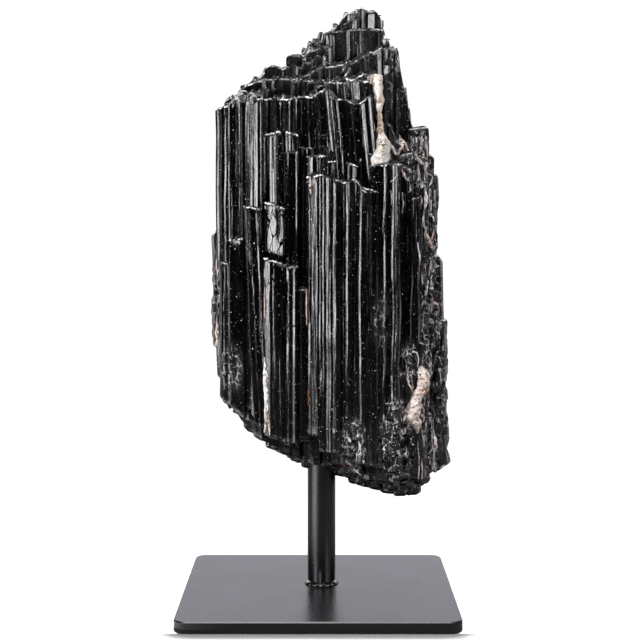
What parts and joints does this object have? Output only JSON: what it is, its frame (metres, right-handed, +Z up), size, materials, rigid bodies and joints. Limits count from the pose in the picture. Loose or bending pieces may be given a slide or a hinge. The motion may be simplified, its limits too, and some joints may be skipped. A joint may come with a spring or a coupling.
{
  "type": "tourmaline crystal specimen on a stand",
  "caption": "Upright bundle of striated black tourmaline crystals with white feldspar, glued on a round steel post welded to a square steel plate.",
  "frame": {"origin": "centre of the base plate's underside, on the surface the stand rests on", "axes": "+Z up along the post and the crystals, +X to the specimen's right as seen from its front, +Y to its back"},
  "size_m": [0.12, 0.12, 0.2667],
  "materials": {
    "powder_coat": "satin black powder coat with a fine orange peel",
    "tourmaline": "glassy black prism faces with fine upright striations, dull and granular where broken",
    "feldspar": "dull cream to white, rough and cleaved"
  },
  "bodies": {
    "root": {"base_plate": "powder_coat", "post": "powder_coat", "tourmaline_crystal": "tourmaline", "feldspar_upper": "feldspar", "feldspar_lower": "feldspar"}
  },
  "joints": []
}
